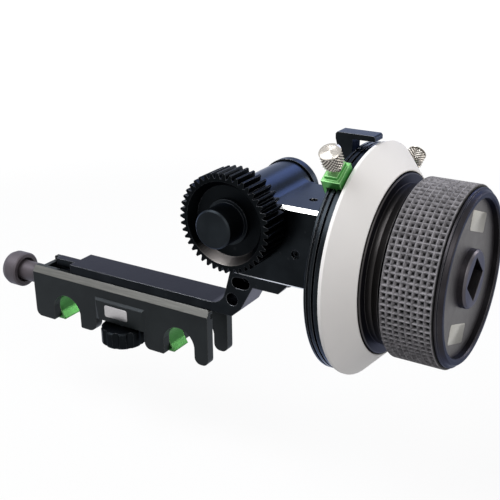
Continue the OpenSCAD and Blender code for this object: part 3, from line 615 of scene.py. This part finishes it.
class FocusSizes(bpy.types.PropertyGroup):
    knurl_columns: bpy.props.IntProperty(
        name="Knurl columns", description="Pits across the grip", min=4, max=12, default=8)
    knurl_rows: bpy.props.IntProperty(
        name="Knurl rows", description="Pits round the grip", min=60, max=120, default=90)
    pit_depth: length("Pit depth", "Depth of the grip's pits", 1.35 * MM)
    ridge: length("Ridge", "Width of the ridges between the grip's pits", 0.32 * MM)
    floor_drop: length("Floor drop", "How far the floor lies under the part", 40 * MM)
    world_light: bpy.props.FloatProperty(
        name="World light", description="Strength of the even light from all round",
        min=0, max=1, default=0.26)


# ---------------------------------------------------------------- operators

class FOCUS_OT_black_parts(bpy.types.Operator):
    """Black anodised arm, gearbox, gear and handwheel, and the grey face in its dish"""
    bl_idname = "focus.black_parts"
    bl_label = "Black pieces"

    def execute(self, context):
        c = context.scene.focus_colours
        edge = c.black_edge
        dress(anodised("black anodising", c.black, edge),
              "bottom_cover", "pointer", "bearing_cover", "jaw_carriage")
        dress(anodised("arm anodising", c.black, edge, tint=ARM_TINT, edge_width=0.55 * MM),
              "arm")
        dress(anodised("gearbox anodising", c.black, edge, bare=c.bare), "gearbox_housing")
        dress(anodised("polished black anodising", darker(c.black, 1.2), edge, rough=0.24),
              "flange")
        neck = (c.neck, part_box("marking_disc")[1].x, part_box("grip")[0].x - 0.9 * MM)
        dress(anodised("handwheel anodising", c.wheel, edge, rough=0.34, tint=WHEEL_TINT,
                       band=neck), "handwheel")
        dress(anodised("hub anodising", darker(c.wheel, 3.2), edge, rough=0.34,
                       tint=WHEEL_TINT), "socket_boss")
        dress(anodised("satin black", darker(c.black, 0.8), darker(edge, 0.6), rough=0.36,
                       tint=SATIN_TINT), "lock_knob", "grub_screws")
        dress(anodised("satin black gear", darker(c.black, 0.5), darker(edge, 0.5),
                       rough=0.36, tint=SATIN_TINT, cone_highlight=c.cone_highlight), "drive_gear")
        cap = darker(c.black, 1.5)
        dress(anodised("satin black nut", cap, darker(edge, 0.25), rough=0.4), "gear_nut")
        dress(anodised("satin black cap", cap, edge, rough=0.4), "end_cap")
        height = joint("wheel_turn")["pos_m"][2]
        dress(turned_metal("grey turned face", c.face, height), "wheel_face")
        return {"FINISHED"}


class FOCUS_OT_clamp(bpy.types.Operator):
    """Rod clamp, its knob and sleeve, and the plain plate on its boss"""
    bl_idname = "focus.clamp"
    bl_label = "Clamp"

    def execute(self, context):
        c = context.scene.focus_colours
        dress(clamp_finish(c), "clamp_body")
        knob = anodised("brown black knob", c.knob, darker(c.plate_edge, 1.3), rough=0.5,
                        metal=0.5, grain=0.02 * MM)
        dress(knob, "clamp_knob", "screw_sleeve")
        x, z = BOSS_PLATE_SPOT
        centre = (x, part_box("clamp_body")[0].y - BOSS_PLATE_RISE, z)
        metal = bright_metal("brushed plate", c.badge, 0.36)
        plain_plate("boss_plate", "clamp", metal, centre, BOSS_PLATE_SIZE, "Y")
        return {"FINISHED"}


class FOCUS_OT_green_parts(bpy.types.Operator):
    """Green jaws and stop blocks"""
    bl_idname = "focus.green_parts"
    bl_label = "Green pieces"

    def execute(self, context):
        c = context.scene.focus_colours
        jaws = anodised("green jaws", darker(c.green, 0.5), darker(c.green_edge, 0.8),
                        rough=0.22, metal=0.6, tint=JAW_TINT, edge_width=0.5 * MM)
        dress(jaws, "jaw_left", "jaw_right")
        # the stops' upward faces are painted lighter, as light from above
        stops = anodised("green stops", c.green, c.green_edge, rough=0.34, metal=0.6,
                         tint=WHITE, painted_top_light=0.3, edge_width=0.5 * MM)
        dress(stops, "stop_left", "stop_right")
        return {"FINISHED"}


class FOCUS_OT_inner_parts(bpy.types.Operator):
    """Shafts, bearings, gears and screws"""
    bl_idname = "focus.inner_parts"
    bl_label = "Inner pieces"

    def execute(self, context):
        c = context.scene.focus_colours
        dress(bright_metal("ground steel", c.steel, 0.28),
              "clamp_screw", "lock_screw", "key_screws", "arm_screws", "cover_screws",
              "drive_shaft", "counter_shaft", "wheel_shaft",
              "drive_bearing_front", "drive_bearing_rear",
              "wheel_bearing_inner", "wheel_bearing_outer", "disc_magnets")
        dress(anodised("blackened screw", c.screw, c.screw_edge, rough=0.35), "pointer_screw")
        dress(bright_metal("bare aluminium", c.aluminium, 0.4), "slide_key", "bearing_spacer")
        dress(bright_metal("cut brass", c.brass, 0.3),
              "drive_spur", "counter_spur", "counter_bevel", "wheel_bevel")
        dress(bright_metal("sintered bronze", c.bronze, 0.5, grain=0.02 * MM),
              "counter_bushes")
        return {"FINISHED"}


class FOCUS_OT_marking_disc(bpy.types.Operator):
    """White disc that takes the focus marks"""
    bl_idname = "focus.marking_disc"
    bl_label = "Marking disc"

    def execute(self, context):
        white = marking_white("marking white", context.scene.focus_colours.white)
        dress(white, "marking_disc")
        return {"FINISHED"}


class FOCUS_OT_grip(bpy.types.Operator):
    """Grip with rows of small pits between crossing ridges"""
    bl_idname = "focus.grip"
    bl_label = "Grip"

    def execute(self, context):
        c = context.scene.focus_colours
        low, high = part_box("grip")
        axis = joint("wheel_turn")["pos_m"]
        bm = grip_mesh((high.z - low.z) / 2, high.x - low.x, context.scene.focus_sizes)
        upright_to_x = Matrix.Rotation(math.pi / 2, 4, "Y")
        bm.transform(Matrix.Translation((low.x, axis[1], axis[2])) @ upright_to_x)
        material = rubber("grip rubber", c.grip_pit_shade, c.grip_high)
        piece(bm, "knurled_grip", "wheel", material, ["grip"])
        return {"FINISHED"}


class FOCUS_OT_thumb_screws(bpy.types.Operator):
    """Nickel thumb screws with a crossed knurl"""
    bl_idname = "focus.thumb_screws"
    bl_label = "Thumb screws"

    def execute(self, context):
        material = nickel("nickel plate", context.scene.focus_colours.nickel)
        for side in ("left", "right"):
            turn = joint(side + "_stop_screw_turn")
            axis = Vector(turn["axis"])
            foot = Vector(turn["pos_m"])
            solid = frame["nodes"]["stop_screw_" + side].data
            points = [v.co - foot for v in solid.vertices]
            reach = [axis.dot(p) for p in points]
            head = max((p - axis * axis.dot(p)).length for p in points)
            bm = thumb_screw_mesh(min(reach), max(reach), head)
            turn_to = Vector((0, 0, 1)).rotation_difference(axis).to_matrix().to_4x4()
            bm.transform(Matrix.Translation(foot) @ turn_to)
            piece(bm, "thumb_screw_" + side, side + "_stop_screw", material,
                  ["stop_screw_" + side])
        return {"FINISHED"}


class FOCUS_OT_face_plates(bpy.types.Operator):
    """Two plain light plates let into the wheel's face"""
    bl_idname = "focus.face_plates"
    bl_label = "Face plates"

    def execute(self, context):
        axis = Vector(joint("wheel_turn")["pos_m"])
        metal = bright_metal("brushed inlay", context.scene.focus_colours.inlay, 0.34)
        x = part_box("wheel_face")[1].x + FACE_PLATE_RISE
        side, up = FACE_PLATE_SPOT
        for name, way in (("face_plate_upper", 1), ("face_plate_lower", -1)):
            centre = (x, axis.y + way * side, axis.z + way * up)
            plain_plate(name, "wheel", metal, centre, FACE_PLATE_SIZE, "X", FACE_PLATE_TURN)
        return {"FINISHED"}


class FOCUS_OT_stage(bpy.types.Operator):
    """Camera, lamps, floor and white surroundings"""
    bl_idname = "focus.stage"
    bl_label = "Stage"

    def execute(self, context):
        scene = context.scene
        sizes = scene.focus_sizes
        scene.view_settings.view_transform = "Standard"
        low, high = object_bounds()
        self.camera(scene)
        self.surroundings(scene, sizes.world_light)
        self.floor(low.z - sizes.floor_drop)
        self.lamps((low + high) / 2)
        return {"FINISHED"}

    def camera(self, scene):
        lens = bpy.data.cameras.new("camera")
        lens.sensor_width = SENSOR_MM
        lens.lens = FOCAL_PIXELS / FRAME_PIXELS * SENSOR_MM
        lens.clip_start = 0.01
        turn = Matrix((CAMERA_RIGHT, CAMERA_UP, CAMERA_BACK)).transposed().to_4x4()
        camera = placed("camera", lens)
        camera.matrix_world = Matrix.Translation(CAMERA_SPOT) @ turn
        scene.camera = camera

    def surroundings(self, scene, light):
        """Plain white where it is looked at, and an even light for the rest."""
        world = bpy.data.worlds.new("white surroundings")
        scene.world = world
        world.use_nodes = True
        g = Graph(world.node_tree, "ShaderNodeOutputWorld")
        plain = g.glow("ShaderNodeBackground", light)
        seen = g.glow("ShaderNodeBackground", 1)
        g.blend(g.looked_at(), plain, seen)

    def floor(self, height):
        """A floor that looks white and still takes the part's shadow near it."""
        bm = bmesh.new()
        bmesh.ops.create_grid(bm, x_segments=2, y_segments=2, size=FLOOR_REACH)
        bmesh.ops.translate(bm, vec=(0, 0, height), verts=bm.verts)
        mesh = mesh_of(bm, "floor")
        obj = placed("floor", mesh)
        f = Finish("white floor")
        white = f.set(Base_Color=FLOOR_GREY, Roughness=0.9, Specular_IOR_Level=0.1)
        far = f.away(f.along("X"), f.along("Y")).between(FLOOR_NEAR, FLOOR_FAR)
        share = f.looked_at() * (0.8 + far * 0.2)
        f.blend(share, f.shader, f.glow("ShaderNodeEmission", FLOOR_GLOW))
        mesh.materials.append(white)
        obj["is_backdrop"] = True

    def lamps(self, centre):
        for name, spot, size, power, tone in LAMPS:
            data = bpy.data.lights.new(name, "AREA")
            data.shape = "SQUARE"
            data.size = size
            data.energy = power
            data.color = tone
            lamp = placed(name, data)
            lamp.location = centre + Vector(spot)
            lamp.rotation_mode = "QUATERNION"
            lamp.rotation_quaternion = (-Vector(spot)).to_track_quat("-Z", "Y")


class FOCUS_PT_panel(bpy.types.Panel):
    """Builds the unit's looks, piece by piece"""
    bl_idname = "FOCUS_PT_panel"
    bl_label = "Follow focus"
    bl_space_type = "VIEW_3D"
    bl_region_type = "UI"
    bl_category = "Follow focus"

    def draw(self, context):
        for group in (context.scene.focus_colours, context.scene.focus_sizes):
            for name in group.__annotations__:
                self.layout.prop(group, name)
        for step in OPERATORS:
            self.layout.operator(step.bl_idname)


OPERATORS = (
    FOCUS_OT_black_parts, FOCUS_OT_clamp, FOCUS_OT_green_parts, FOCUS_OT_inner_parts,
    FOCUS_OT_marking_disc, FOCUS_OT_grip, FOCUS_OT_thumb_screws, FOCUS_OT_face_plates,
    FOCUS_OT_stage)
CLASSES = (FocusColours, FocusSizes) + OPERATORS + (FOCUS_PT_panel,)


def register():
    for cls in CLASSES:
        bpy.utils.register_class(cls)
    bpy.types.Scene.focus_colours = bpy.props.PointerProperty(type=FocusColours)
    bpy.types.Scene.focus_sizes = bpy.props.PointerProperty(type=FocusSizes)


def unregister():
    del bpy.types.Scene.focus_sizes
    del bpy.types.Scene.focus_colours
    for cls in reversed(CLASSES):
        bpy.utils.unregister_class(cls)


def main():
    register()
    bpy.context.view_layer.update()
    bpy.ops.focus.black_parts()
    bpy.ops.focus.clamp()
    bpy.ops.focus.green_parts()
    bpy.ops.focus.inner_parts()
    bpy.ops.focus.marking_disc()
    bpy.ops.focus.grip()
    bpy.ops.focus.thumb_screws()
    bpy.ops.focus.face_plates()
    bpy.ops.focus.stage()


if __name__ == "__main__":
    main()
